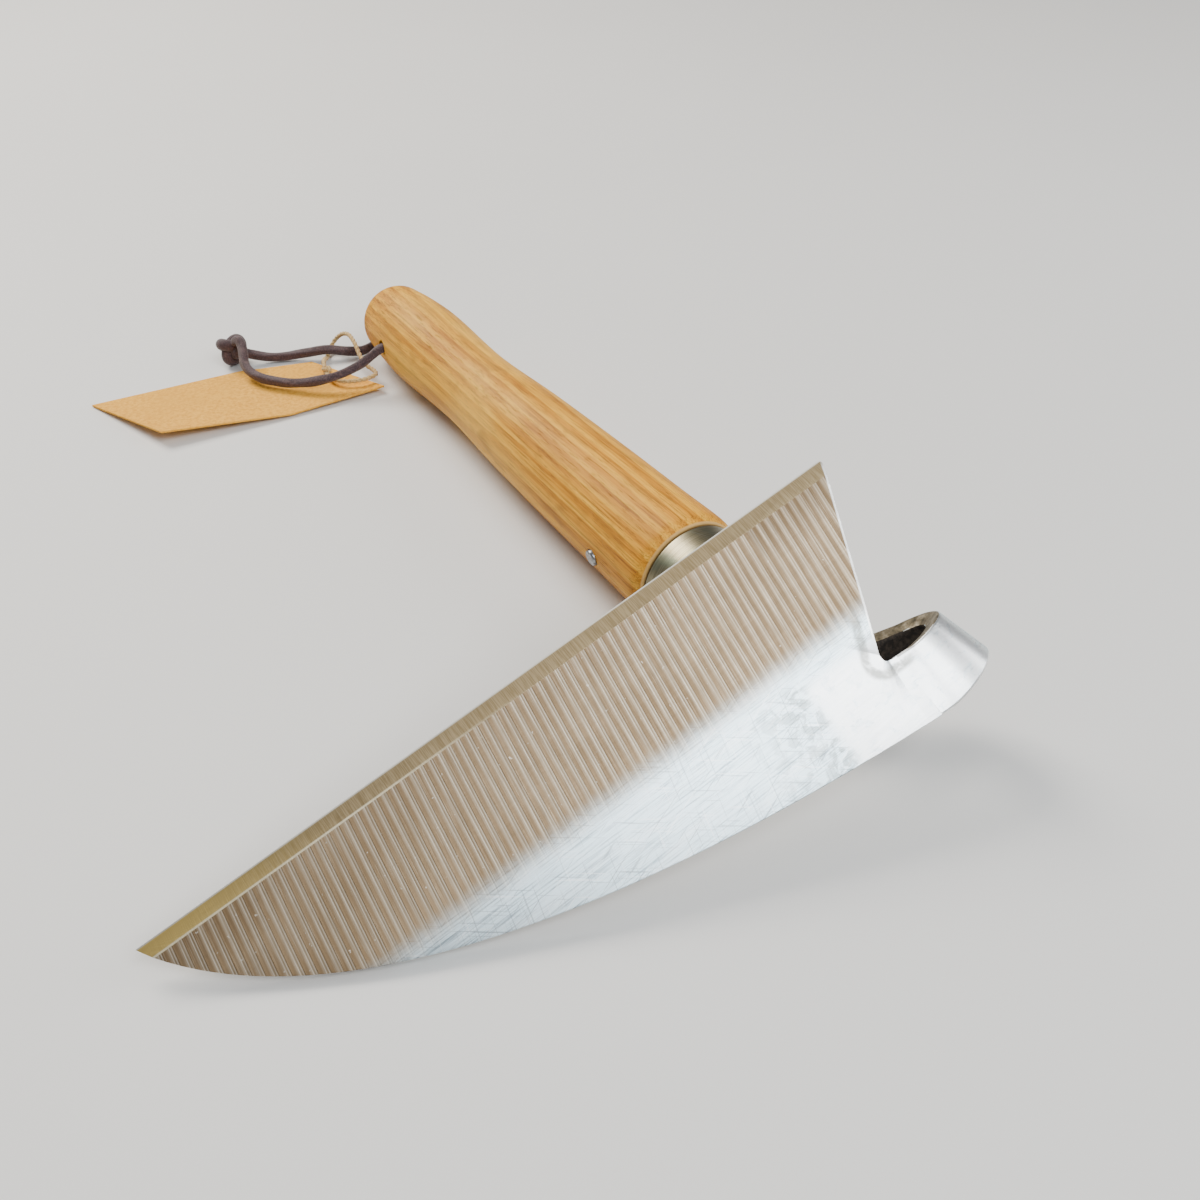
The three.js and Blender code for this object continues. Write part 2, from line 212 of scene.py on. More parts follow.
class Finish:
    """One material, and the one way to add a node to it."""

    def __init__(self, name, matrix):
        self.material = bpy.data.materials.new(name)
        self.material.use_nodes = True
        self.tree = self.material.node_tree
        self.shader = self.tree.nodes["Principled BSDF"]
        place = self.add("TexCoord", out="Object")
        offset = self.add("VectorMath", {"operation": "SUBTRACT"}, [place, tuple(matrix.translation)])
        columns = [matrix.col[i].to_3d() for i in range(3)]
        rows = [column / column.length_squared for column in columns]
        dots = [self.add("VectorMath", {"operation": "DOT_PRODUCT"}, [offset, tuple(row)], 1) for row in rows]
        self.x, self.y, self.z = dots

    def add(self, kind, settings=None, inputs=(), out=0):
        node = self.tree.nodes.new("ShaderNode" + kind)
        for key, value in (settings or {}).items():
            if key == "stops":
                while len(node.color_ramp.elements) < len(value):
                    node.color_ramp.elements.new(1.0)
                for element, (position, colour) in zip(node.color_ramp.elements, value):
                    element.position = position
                    element.color = (*colour, 1)
            else:
                setattr(node, key, value)
        for key, value in dict(inputs if isinstance(inputs, dict) else enumerate(inputs)).items():
            self.feed(node.inputs[key], value)
        return Wire(self, node.outputs[out])

    def feed(self, socket, value):
        if isinstance(value, Wire):
            self.tree.links.new(value.socket, socket)
        elif socket.type == "RGBA":
            socket.default_value = (*value, 1)
        else:
            socket.default_value = value

    def noise(self, x, y, z, detail=2.0, roughness=0.5, distortion=0.0):
        """Noise from 0 to 1 that changes over about one unit of x, y and z."""
        place = self.add("CombineXYZ", inputs=[x, y, z])
        values = {
            "Vector": place, "Scale": 1.0, "Detail": detail, "Roughness": roughness, "Distortion": distortion,
        }
        return self.add("TexNoise", inputs=values)

    def blend(self, one, other, share):
        return self.add("Mix", {"data_type": "RGBA"}, {0: share, 6: one, 7: other}, 2)

    def ramp(self, value, *stops):
        return self.add("ValToRGB", {"stops": stops}, [value])

    def bump(self, height):
        """Raises the surface by the height, in millimetres."""
        self.set(Normal=self.add("Bump", inputs={"Strength": 1.0, "Distance": MM, "Height": height}))

    def set(self, **sockets):
        for key, value in sockets.items():
            self.feed(self.shader.inputs[key.replace("_", " ")], value)


# ---------------------------------------------------------------- materials
def steel():
    """One steel for the blade and the neck, so that no seam shows where they are welded."""
    f = Finish("ground_steel", BLADE)
    lean = math.tan(GROOVE_LEAN)
    start = f.x + f.y * lean
    cloud = f.noise(f.x * 0.045, f.y * 0.06, f.z * 0.05, 2.0)

    # Ground facet: even grooves that run from the edge towards the back. Each has a painted shaded side, a
    # painted lit side, thin painted highlight and shade lines, and finer lines from the grit within it.
    phase = (start / GROOVE_PITCH).math("FRACT")
    row = f.noise(start * 0.55, 3.0, 0.0, 2.0)
    hair = f.noise(start * 5.0, f.y * 0.10, 0.0, 3.0, 0.6)
    fine = f.noise(start * 11.0, f.y * 0.25, 0.0, 2.0)
    faint = 1 - f.x.rise(105.0, 150.0) * 0.5 - f.y.rise(22.0, 31.0) * 0.25
    # Painted light in every groove: a lit side, and thin highlight and shade lines at set places.
    lit = phase.rise(0.26, 0.56) * (1 - phase.rise(0.90, 1.0))
    painted_glint_lines = phase.band(0.575, 0.635, 0.035) + phase.band(0.835, 0.885, 0.035)
    painted_shade_lines = phase.band(0.715, 0.765, 0.035) + phase.band(0.955, 1.05, 0.03)
    ground = f.blend((0.225, 0.152, 0.084), (0.30, 0.210, 0.122), cloud.rise(0.3, 0.7))
    ground = f.blend(ground, (0.50, 0.395, 0.275), lit * (0.50 + row.rise(0.35, 0.65) * 0.45))
    painted_glint_share = painted_glint_lines * faint * (0.35 + hair.rise(0.62, 0.40) * 0.50)
    painted_shade_share = painted_shade_lines * faint * (0.40 + hair.rise(0.40, 0.62) * 0.45)
    ground = f.blend(ground, (0.88, 0.800, 0.660), painted_glint_share)
    ground = f.blend(ground, (0.115, 0.080, 0.046), painted_shade_share)
    ground = f.blend(ground, (0.15, 0.105, 0.062), hair.rise(0.53, 0.70) * 0.40)
    ground = f.blend(ground, (0.66, 0.56, 0.43), hair.rise(0.44, 0.28) * 0.30)
    ground = f.blend(ground, (0.27, 0.19, 0.12), fine.rise(0.56, 0.70) * 0.22)
    nick = f.noise(f.x * 0.8, f.y * 0.8, 0.0, 3.0)
    ground = f.blend(ground, (0.86, 0.80, 0.70), nick.rise(0.70, 0.74) * 0.55)

    # Satin: brushed along the length, with a cloudier polish towards the neck.
    brush = f.noise(f.x * 0.10, f.y * 2.8, f.z * 2.0, 4.0, 0.62)
    drift = f.noise(f.x * 0.05 + f.y * 0.11, f.y * 0.25, f.z * 0.2, 2.0)
    satin = f.blend((0.17, 0.235, 0.275), (0.72, 0.85, 0.90), brush.rise(0.24, 0.58))
    satin = f.blend(satin, (0.92, 0.96, 0.98), drift.rise(0.45, 0.75) * 0.35)

    # Scratches that cross the brushing at a few angles.
    for way_x, way_y, share in ((0.35, 1.0, 0.35), (-0.6, 0.8, 0.30), (1.0, 0.25, 0.25)):
        across_way = f.x * way_x + f.y * way_y
        along_way = f.x * way_y - f.y * way_x
        scratch = f.noise(across_way * 2.6, along_way * 0.07, f.z * 0.4, 2.0)
        satin = f.blend(satin, (0.20, 0.23, 0.25), scratch.rise(0.62, 0.69) * share * 1.8)
        satin = f.blend(satin, (0.98, 0.98, 0.98), scratch.rise(0.36, 0.30) * share * 1.5)

    # Polish marks: a crescent that keeps its distance from the heel side and the notch, and patches over the
    # weld. Beside them, a painted highlight, near white and mottled, on the front towards the neck.
    mottle = f.noise(f.x * 0.42, f.y * 0.42, f.z * 0.3, 4.0, 0.6, 0.8)
    off_x, off_y = f.x - (NOTCH_X + 0.9), f.y - (NOTCH_Y - 1.3)
    past_side = (off_x * math.sin(HEEL_LEAN) - off_y * math.cos(HEEL_LEAN)).math("MAXIMUM", 0.0)
    nearest = past_side.math("MAXIMUM", off_x)
    from_void = (off_x * off_x + off_y * off_y - nearest * nearest).math("SQRT")
    distance = from_void + (mottle - 0.5) * 1.4
    crescent = distance.band(2.4, 4.2, 0.5) * f.y.rise(GRIND_WIDTH - 3, GRIND_WIDTH + 3)
    crescent = crescent * (1 - f.x.rise(SEAM_X + 1, SEAM_X + 4)) * (0.45 + mottle.rise(0.30, 0.55) * 0.55)
    weld = f.x.band(*WELD_GHOST, 1.6) * f.y.rise(31.5, 35.0)
    patches = weld * mottle.rise(0.46, 0.58) * (0.35 + f.x.rise(114.0, 127.0) * 0.5)
    stain = crescent * 0.8 + patches * 0.6
    # Painted highlight: near white on the front, from beside the weld to the neck.
    painted_neck_highlight = f.x.rise(*NECK_HIGHLIGHT_START) * f.y.rise(33.0, 37.0) * (1 - f.z.rise(2.0, 6.0))
    satin = f.blend(satin, (0.98, 0.98, 0.97), painted_neck_highlight * (1 - mottle.rise(0.52, 0.66) * 0.5) * 0.9)
    satin = f.blend(satin, (0.17, 0.158, 0.11), stain * 0.70)

    # Sharpening bevel: fine cross-ground lines, darker and warmer, golden towards the tip.
    cross = f.noise(f.x * 4.5, f.y * 0.2, 0.0, 2.0)
    bevel = f.blend((0.30, 0.225, 0.120), (0.43, 0.335, 0.195), cross.rise(0.35, 0.65))
    bevel = f.blend((0.60, 0.44, 0.15), bevel, f.x.rise(4.0, 46.0))
    # Painted highlight: a pale line along the bevel's upper border, fading out towards the heel.
    painted_border_highlight = f.y.band(BEVEL_WIDTH - 0.35, BEVEL_WIDTH + 0.1, 0.12) * (1 - f.x.rise(40.0, 90.0))
    bevel = f.blend(bevel, (0.90, 0.82, 0.60), painted_border_highlight * 0.8)
    # Painted highlight: a pale strip along the very cutting edge.
    bevel = f.blend((0.80, 0.77, 0.68), bevel, f.y.rise(0.1, 0.4))

    wander = (f.noise(f.x * 0.3, 7.0, 0.0, 2.0) - 0.5) * 2.2
    past_grind = (f.y + wander).rise(GRIND_WIDTH - 3.4, GRIND_WIDTH + 3.6)
    front = 1 - f.z.rise(2.25, 2.5)
    colour = f.blend(ground, satin, past_grind)
    on_bevel = (1 - f.y.rise(BEVEL_WIDTH - 0.05, BEVEL_WIDTH + 0.12)) * (1 - f.z.rise(2.62, 2.7))
    colour = f.blend(colour, bevel, on_bevel)
    # Painted highlight: a near-white line along the heel side's edge, on the front, up to the notch.
    from_side = (EDGE_LENGTH - f.y * math.tan(HEEL_LEAN) - f.x) * math.cos(HEEL_LEAN)
    before_notch = 1 - f.y.rise(NOTCH_Y - 1.5, NOTCH_Y)
    painted_heel_highlight = (1 - from_side.rise(0.30, 0.55)) * before_notch * (1 - f.z.rise(2.0, 2.6))
    colour = f.blend(colour, (1.0, 0.99, 0.96), painted_heel_highlight)

    # Rear face, the return of the strap and the tang: forged, browner, less finished.
    scale = f.noise(f.x * 0.22, f.y * 0.22, f.z * 0.22, 4.0, 0.62)
    stops = ((0.3, (0.16, 0.15, 0.125)), (0.52, (0.30, 0.285, 0.25)), (0.72, (0.44, 0.425, 0.39)))
    forged = f.ramp(scale, *stops)
    rear_brush = f.noise(f.x * 3.0 + f.y * 0.5, f.y * 0.2, f.z * 0.4, 2.0)
    rear = f.blend((0.47, 0.46, 0.43), (0.66, 0.65, 0.62), rear_brush.rise(0.3, 0.7))
    on_strap = f.x.rise(SEAM_X - 6, SEAM_X + 2) * f.y.rise(NOTCH_Y - 1.5, NOTCH_Y)
    back_side = f.z.rise(2.3, 2.7) * (1 - on_strap) * (1 - f.z.rise(3.0, 4.0))
    colour = f.blend(colour, rear, back_side * (1 - on_bevel))
    colour = f.blend(colour, forged, f.z.rise(STRAP_THICKNESS + 1.0, STRAP_THICKNESS + 9.0) * 0.85)

    f.set(Base_Color=colour, Metallic=1.0)
    roughness = 0.42 + brush.rise(0.2, 0.8) * 0.08 - past_grind * 0.10 + stain * 0.12
    roughness = roughness + hair.rise(0.3, 0.7) * (1 - past_grind) * 0.08 + f.z.rise(6.0, 14.0) * 0.18
    f.set(Roughness=roughness)
    lines = hair * (1 - past_grind) * front * 0.016 + brush * past_grind * front * 0.013
    rough = scale * f.z.rise(STRAP_THICKNESS, STRAP_THICKNESS + 9.0) * 0.12 + stain * 0.015
    f.bump(lines + rough + cross * on_bevel * 0.012)
    return f.material


def strap_edge():
    """The strap's narrow edges, left rough from the forge."""
    f = Finish("forged_edge", BLADE)
    scale = f.noise(f.x * 0.5, f.y * 0.5, f.z * 0.5, 4.0, 0.65)
    pits = f.noise(f.x * 1.6, f.y * 1.6, f.z * 1.6, 3.0)
    stops = ((0.32, (0.060, 0.050, 0.030)), (0.5, (0.170, 0.140, 0.090)), (0.7, (0.40, 0.35, 0.26)))
    colour = f.blend(f.ramp(scale, *stops), (0.07, 0.06, 0.05), pits.rise(0.6, 0.72) * 0.6)
    f.set(Base_Color=colour, Metallic=0.85, Roughness=0.42 + scale * 0.25)
    f.bump(scale * 0.10 + pits * 0.05)
    return f.material


def paint_bend_shade():
    """Painted shade: a near-black finish on the faces that look into the bend."""
    f = Finish("painted_bend_shade", BLADE)
    bend_mottle = f.noise(f.x * 0.7, f.y * 0.7, f.z * 0.7, 4.0, 0.65)
    colour = f.blend((0.012, 0.009, 0.007), (0.060, 0.045, 0.033), bend_mottle.rise(0.35, 0.7))
    f.set(Base_Color=colour, Metallic=0.6, Roughness=0.55 + bend_mottle * 0.3)
    f.bump(bend_mottle * 0.12)
    return f.material


def wood():
    """Honey-coloured ash, turned, oiled and worn a little paler in the middle of the grip."""
    f = Finish("turned_ash", HANDLE)
    wave = f.noise(f.x * 0.05, f.y * 0.05, f.z * 0.012, 2.0)
    # Growth rings round a pith that lies outside the handle, so that they run as long streaks.
    pith_x = f.x - 46.0 + wave * 6.0
    pith_y = f.y + 21.0 + wave * 8.0
    reach = (pith_x * pith_x + pith_y * pith_y).math("SQRT") + f.z * 0.012
    ring = (reach / 3.1 + wave * 1.4).math("FRACT")
    early = ring.rise(0.05, 0.80)
    late = ring.rise(0.84, 0.97)
    fibre = f.noise(f.x * 1.5, f.y * 1.5, f.z * 0.022, 5.0, 0.62)
    fine = f.noise(f.x * 4.2, f.y * 4.2, f.z * 0.06, 3.0)
    pores = f.noise(f.x * 5.5, f.y * 5.5, f.z * 0.20, 2.0)
    tone = f.noise(f.x * 0.07, f.y * 0.07, f.z * 0.022, 2.0)
    colour = f.ramp(
        early * 0.22 + fibre * 0.62 + fine * 0.28 - late * 0.22,
        (0.24, (0.240, 0.075, 0.003)), (0.48, (0.580, 0.235, 0.013)), (0.78, (0.860, 0.455, 0.042)),
    )
    vein = f.noise(f.x * 2.1, f.y * 2.1, f.z * 0.020, 3.0)
    colour = f.blend(colour, (0.170, 0.055, 0.005), vein.rise(0.55, 0.66) * 0.50)
    colour = f.blend(colour, (0.110, 0.036, 0.004), pores.rise(0.58, 0.68) * (1 - early * 0.3) * 0.60)
    worn = f.z.band(60.0, 150.0, 22.0) * tone.rise(0.35, 0.65) * 0.40
    colour = f.blend(colour, (0.900, 0.560, 0.110), worn)
    colour = f.blend(colour, (0.330, 0.120, 0.012), (1 - tone.rise(0.28, 0.5)) * 0.40)
    smudge = f.noise(f.x * 0.16, f.y * 0.16, f.z * 0.07, 3.0)
    colour = f.blend(colour, (0.240, 0.095, 0.012), smudge.rise(0.56, 0.72) * 0.35)
    # Pale, freshly cut wood at the turned rim, and a little dirt at the ferrule.
    colour = f.blend((0.66, 0.40, 0.13), colour, f.z.rise(0.35, 0.9))
    colour = f.blend((0.075, 0.035, 0.012), colour, f.z.rise(-0.1, 0.22))
    roughness = 0.48 + fibre * 0.16 + pores.rise(0.58, 0.72) * 0.12
    f.set(Base_Color=colour, Roughness=roughness, Specular_IOR_Level=0.22)
    f.bump(fibre * 0.05 - pores.rise(0.60, 0.72) * 0.05 - late * 0.02)
    return f.material


def ferrule_steel():
    f = Finish("polished_ferrule", HANDLE)
    turned = f.noise(f.z * 6.0, f.x * 0.05, f.y * 0.05, 2.0)
    cloud = f.noise(f.x * 0.18, f.y * 0.18, f.z * 0.15, 3.0)
    scratch = f.noise(f.z * 1.2 + f.x * 2.2, f.y * 0.3, 0.0, 3.0)
    colour = f.blend((0.185, 0.160, 0.098), (0.32, 0.285, 0.185), turned.rise(0.3, 0.7))
    colour = f.blend(colour, (0.165, 0.20, 0.145), cloud.rise(0.45, 0.7) * 0.7)
    colour = f.blend(colour, (0.36, 0.34, 0.30), scratch.rise(0.64, 0.72) * 0.4)
    f.set(Base_Color=colour, Metallic=1.0, Roughness=0.26 + cloud * 0.16 + turned * 0.06)
    f.bump(turned * 0.01 + cloud * 0.06)
    return f.material


def pin_steel():
    f = Finish("pin_steel", HANDLE)
    mark = f.noise(f.x * 1.5, f.y * 1.5, f.z * 1.5, 3.0)
    colour = f.blend((0.15, 0.15, 0.15), (0.36, 0.37, 0.38), mark.rise(0.35, 0.65))
    f.set(Base_Color=colour, Metallic=1.0, Roughness=0.22 + mark * 0.2)
    f.bump(mark * 0.05)
    return f.material


def leather():
    f = Finish("dark_leather", SURFACE)
    grain = f.noise(f.x * 2.2, f.y * 2.2, f.z * 2.2, 4.0, 0.6)
    fleck = f.noise(f.x * 0.5, f.y * 0.5, f.z * 0.5, 2.0)
    stops = ((0.3, (0.022, 0.010, 0.012)), (0.52, (0.058, 0.028, 0.031)), (0.75, (0.125, 0.072, 0.072)))
    colour = f.blend(f.ramp(grain, *stops), (0.16, 0.095, 0.085), fleck.rise(0.56, 0.72) * 0.35)
    f.set(Base_Color=colour, Roughness=0.62 + grain * 0.25, Sheen_Weight=0.2)
    f.bump(grain * 0.16)
    return f.material


def string_fibre():
    f = Finish("twine", SURFACE)
    fibre = f.noise(f.x * 4.0, f.y * 4.0, f.z * 4.0, 4.0, 0.65)
    colour = f.ramp(fibre, (0.3, (0.33, 0.19, 0.06)), (0.5, (0.62, 0.41, 0.16)), (0.72, (0.86, 0.66, 0.34)))
    f.set(Base_Color=colour, Roughness=0.92, Sheen_Weight=0.25)
    f.bump(fibre * 0.12)
    return f.material


def kraft_card():
    f = Finish("kraft_card", SURFACE)
    pulp = f.noise(f.x * 0.9, f.y * 0.9, f.z * 0.9, 5.0, 0.65)
    flake = f.noise(f.x * 1.1 + f.y * 0.3, f.y * 2.6, f.z * 2.0, 3.0)
    broad = f.noise(f.x * 0.05, f.y * 0.05, 0.0, 2.0)
    colour = f.blend((0.70, 0.315, 0.036), (0.90, 0.475, 0.076), pulp.rise(0.32, 0.68))
    colour = f.blend(colour, (0.27, 0.135, 0.040), flake.rise(0.64, 0.72) * 0.45)
    colour = f.blend(colour, (0.84, 0.54, 0.20), flake.rise(0.34, 0.26) * 0.4)
    colour = f.blend(colour, (0.72, 0.36, 0.05), broad.rise(0.4, 0.65) * 0.4)
    f.set(Base_Color=colour, Roughness=0.80 + pulp * 0.12, Specular_IOR_Level=0.25)
    f.bump(pulp * 0.05 + flake * 0.02)
    return f.material


# ---------------------------------------------------------------- mesh building
def to_object(name, bm):
    """Writes a bmesh to a new object of the scene, and frees it."""
    mesh = bpy.data.meshes.new(name)
    bm.to_mesh(mesh)
    bm.free()
    thing = bpy.data.objects.new(name, mesh)
    bpy.context.scene.collection.objects.link(thing)
    return thing


def finished(name, bm, matrix, *materials, slot, replaces=()):
    """Writes a bmesh made in millimetres to a new piece that rides on the hoe's one body."""
    bmesh.ops.transform(bm, matrix=matrix, verts=bm.verts)
    piece = to_object(name, bm)
    for material in materials:
        piece.data.materials.append(material)
    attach(piece, "root")
    if replaces:
        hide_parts(*replaces)
    return piece


def smooth(bm, sharp=35.0):
    for face in bm.faces:
        face.smooth = True
    for edge in bm.edges:
        if len(edge.link_faces) == 2:
            edge.smooth = edge.calc_face_angle(0) < math.radians(sharp)


def lathe(profile, steps, closed=False):
    """Spins radius and height pairs about z. A closed profile makes a ring."""
    bm = bmesh.new()
    verts = [bm.verts.new((radius, 0, height)) for radius, height in profile]
    pairs = list(zip(verts, verts[1:]))
    if closed:
        pairs.append((verts[-1], verts[0]))
    edges = [bm.edges.new(pair) for pair in pairs]
    bmesh.ops.spin(
        bm, geom=verts + edges, cent=(0, 0, 0), axis=(0, 0, 1), angle=2 * math.pi, steps=steps, use_merge=True
    )
    bmesh.ops.remove_doubles(bm, verts=bm.verts, dist=1e-4)
    bmesh.ops.recalc_face_normals(bm, faces=bm.faces)
    return bm


def rod(start, end, radius, sides=32):
    bm = bmesh.new()
    axis = end - start
    turned = axis.to_track_quat("Z", "Y").to_matrix().to_4x4()
    place = Matrix.Translation((start + end) / 2) @ turned
    bmesh.ops.create_cone(
        bm, cap_ends=True, segments=sides, radius1=radius, radius2=radius, depth=axis.length, matrix=place
    )
    return bm


def cut(bm, *tools):
    """Cuts holes with a Boolean that is worked out at once."""
    body = to_object("cut_body", bm)
    tool_objects = [to_object("cut_tool", tool) for tool in tools]
    for tool in tool_objects:
        modifier = body.modifiers.new("hole", "BOOLEAN")
        modifier.operation = "DIFFERENCE"
        modifier.solver = "EXACT"
        modifier.object = tool
    graph = bpy.context.evaluated_depsgraph_get()
    carved = bmesh.new()
    carved.from_mesh(body.evaluated_get(graph).to_mesh())
    for thing in (body, *tool_objects):
        bpy.data.objects.remove(thing)
    return carved


def through(points, count):
    """Even steps along a centripetal Catmull-Rom curve through the points."""
    points = [Vector(p) for p in points]
    ends = [points[0] * 2 - points[1], *points, points[-1] * 2 - points[-2]]
    line = []
    for i in range(1, len(ends) - 2):
        p = ends[i - 1:i + 3]
        knots = [0.0]
        for a, b in zip(p, p[1:]):
            knots.append(knots[-1] + (b - a).length ** 0.5)
        for step in range(24):
            t = knots[1] + (knots[2] - knots[1]) * step / 24
            first = [
                p[j] * ((knots[j + 1] - t) / (knots[j + 1] - knots[j]))
                + p[j + 1] * ((t - knots[j]) / (knots[j + 1] - knots[j]))
                for j in range(3)
            ]
            second = [
                first[j] * ((knots[j + 2] - t) / (knots[j + 2] - knots[j]))
                + first[j + 1] * ((t - knots[j]) / (knots[j + 2] - knots[j]))
                for j in range(2)
            ]
            share = (t - knots[1]) / (knots[2] - knots[1])
            line.append(second[0].lerp(second[1], share))
    line.append(points[-1])
    total = [0.0]
    for a, b in zip(line, line[1:]):
        total.append(total[-1] + (b - a).length)
    even, j = [], 0
    for i in range(count + 1):
        target = total[-1] * i / count
        while j < len(total) - 2 and total[j + 1] < target:
            j += 1
        even.append(line[j].lerp(line[j + 1], (target - total[j]) / (total[j + 1] - total[j])))
    return even


def length_of(line):
    return sum((b - a).length for a, b in zip(line, line[1:]))


def sweep(line, width_way, section, closed=False):
    """Carries a section along a line. section(share) gives its points as (across, thick) pairs."""
    bm = bmesh.new()
    sides = len(section(0.0))
    first_ring = bmesh.ops.create_circle(bm, segments=sides, radius=1.0)["verts"]
    ring = first_ring
    way = Vector(width_way)
    last = len(line) - 1
    for i, centre in enumerate(line):
        before = line[(i - 1) % len(line)] if closed else line[max(i - 1, 0)]
        after = line[(i + 1) % len(line)] if closed else line[min(i + 1, last)]
        tangent = (after - before).normalized()
        way = (way - tangent * way.dot(tangent)).normalized()
        thick = tangent.cross(way)
        if i:
            edges = [bm.edges.get((ring[k], ring[(k + 1) % sides])) for k in range(sides)]
            made = set(bmesh.ops.extrude_edge_only(bm, edges=edges)["geom"])
            ring = [next(e.other_vert(v) for e in v.link_edges if e.other_vert(v) in made) for v in ring]
        for vertex, (a, b) in zip(ring, section(i / last)):
            vertex.co = centre + way * a + thick * b
    if closed:
        for k in range(sides):
            m = (k + 1) % sides
            bm.faces.new((ring[k], ring[m], first_ring[m], first_ring[k]))
    else:
        bm.faces.new(first_ring)
        bm.faces.new(ring)
    bmesh.ops.recalc_face_normals(bm, faces=bm.faces)
    return bm


def polar_section(radius_at, turned=0.0, sides=16):
    """A section whose radius is radius_at(k, angle) at its k-th side, turned as a whole."""
    points = []
    for k in range(sides):
        angle = 2 * math.pi * k / sides
        radius = radius_at(k, angle)
        points.append((radius * math.cos(angle + turned), radius * math.sin(angle + turned)))
    return points


def strap_section(width, thickness, corner, roundness):
    """A rectangle with rounded corners that turns into an ellipse as roundness goes to 1."""
    points = []
    for quarter in range(4):
        for k in range(6):
            angle = math.pi / 2 * (quarter + k / 5)
            middle = math.pi / 2 * (quarter + 0.5)
            cx = math.copysign(width / 2 - corner, math.cos(middle))
            cy = math.copysign(thickness / 2 - corner, math.sin(middle))
            square = (cx + corner * math.cos(angle), cy + corner * math.sin(angle))
            spread = math.pi / 2 * (quarter + (k + 0.5) / 6)
            circle = (width / 2 * math.cos(spread), thickness / 2 * math.sin(spread))
            points.append(tuple(s + (c - s) * roundness for s, c in zip(square, circle)))
    return points


def ease(value, low, high):
    share = min(max((value - low) / (high - low), 0.0), 1.0)
    return share * share * (3 - 2 * share)


# ---------------------------------------------------------------- camera
def camera():
    """At the height and slant that the hoe is seen from, looking down over the blade."""
    pitch, yaw, roll = math.radians(39.47), math.radians(-0.96), math.radians(-2.46)
    forward = Vector((math.sin(yaw) * math.cos(pitch), math.cos(yaw) * math.cos(pitch), -math.sin(pitch)))
    level = forward.cross(Vector((0, 0, 1))).normalized()
    above = level.cross(forward)
    right = level * math.cos(roll) + above * math.sin(roll)
    up = right.cross(forward)
    data = bpy.data.cameras.new("camera")
    data.lens = 36
    data.sensor_width = 36
    data.clip_start = 0.01
    camera_object = bpy.data.objects.new("camera", data)
    camera_object.matrix_world = Matrix((right, up, -forward)).transposed().to_4x4()
    camera_object.location = (0.0066, -0.2462, 0.1886)
    bpy.context.scene.collection.objects.link(camera_object)
    bpy.context.scene.camera = camera_object


camera()

# ---------------------------------------------------------------- thong, string and tag
THONG_FRONT = (
    (-53.4, 100.0, 12.8), (-58.5, 96.9, 13.1), (-64.2, 93.4, 13.3), (-67.6, 91.6, 11.4),
    (-71.0, 90.3, 9.5), (-75.2, 89.2, 7.9), (-80.6, 88.2, 6.5), (-86.2, 88.5, 5.3),
    (-92.0, 89.8, 4.3), (-98.0, 91.7, 4.0), (-103.5, 94.2, 4.1), (-107.6, 97.4, 4.6),
    (-110.0, 100.8, 5.8), (-110.8, 104.0, 7.6), (-111.6, 106.9, 9.2), (-112.8, 108.7, 10.2),
)
THONG_BACK = (
    (-52.4, 100.6, 12.8), (-47.5, 103.6, 12.5), (-42.4, 106.7, 12.2), (-39.8, 109.0, 10.9),
    (-41.2, 113.0, 8.4), (-45.4, 117.6, 5.8), (-50.0, 122.4, 3.4), (-56.6, 125.9, 2.0),
    (-63.6, 126.0, 1.8), (-69.0, 122.4, 1.8), (-72.2, 117.4, 1.8), (-75.0, 114.4, 2.0),
    (-79.4, 113.2, 2.7), (-86.2, 112.8, 3.6), (-93.4, 112.8, 2.7), (-99.6, 112.6, 1.9),
    (-105.4, 111.9, 2.2), (-110.6, 111.5, 3.6),
)
# Each lace runs on to one more point, inside the knot.
FRONT_INTO_KNOT = ((-115.0, 110.9, 8.4),)
BACK_INTO_KNOT = ((-113.8, 111.7, 4.6),)
KNOT_CENTRE = Vector((-116.7, 112.2, 5.35))
STRING_LOOP = (
    (-84.4, 99.9, 3.9), (-85.6, 104.6, 3.5), (-86.3, 109.2, 2.1), (-86.3, 113.0, 0.85),
    (-86.0, 116.6, 1.5), (-84.4, 118.2, 3.8), (-81.4, 117.0, 6.8), (-78.0, 113.2, 8.6),
    (-75.4, 108.6, 7.8), (-73.4, 104.2, 5.6), (-71.0, 100.2, 4.2), (-68.4, 97.4, 3.9),
    (-67.2, 94.6, 3.9), (-69.4, 92.0, 3.9), (-73.6, 90.8, 3.8), (-78.0, 91.4, 3.6),
    (-81.4, 93.8, 3.5), (-83.6, 97.2, 3.5),
)
TAG_NEAR = ((-127.0, 62.5, 5.0), (-91.3, 76.2, 1.6), (-64.3, 90.1, 2.5))
TAG_FAR = ((-156.4, 86.6, 1.1), (-114.2, 105.4, 1.0), (-91.0, 110.4, 1.0))
TAG_CREASE = 0.55
TAG_HOLE = (-84.2, 98.6)
TAG_HOLE_RADIUS = 2.2


def lace(name, route, replaces):
    """Cut leather lace: a soft square section that turns a little as it goes."""
    line = through(route, 150)
    half = THONG_DIAMETER / 2

    def section(share):
        def radius_at(k, angle):
            bulge = 1 - 0.10 * math.cos(4 * angle) - 0.05 * math.cos(2 * angle)
            return half * 0.95 * bulge * (1 + 0.03 * math.sin(share * 57 + k))

        return polar_section(radius_at, share * 2.4 + 0.25 * math.sin(share * 31))

    bm = sweep(line, (0, 0, 1), section)
    smooth(bm, 60)
    piece = finished(name, bm, SURFACE, LEATHER, replaces=replaces, slot="thong_leather")
    return piece, [p * MM for p in line]


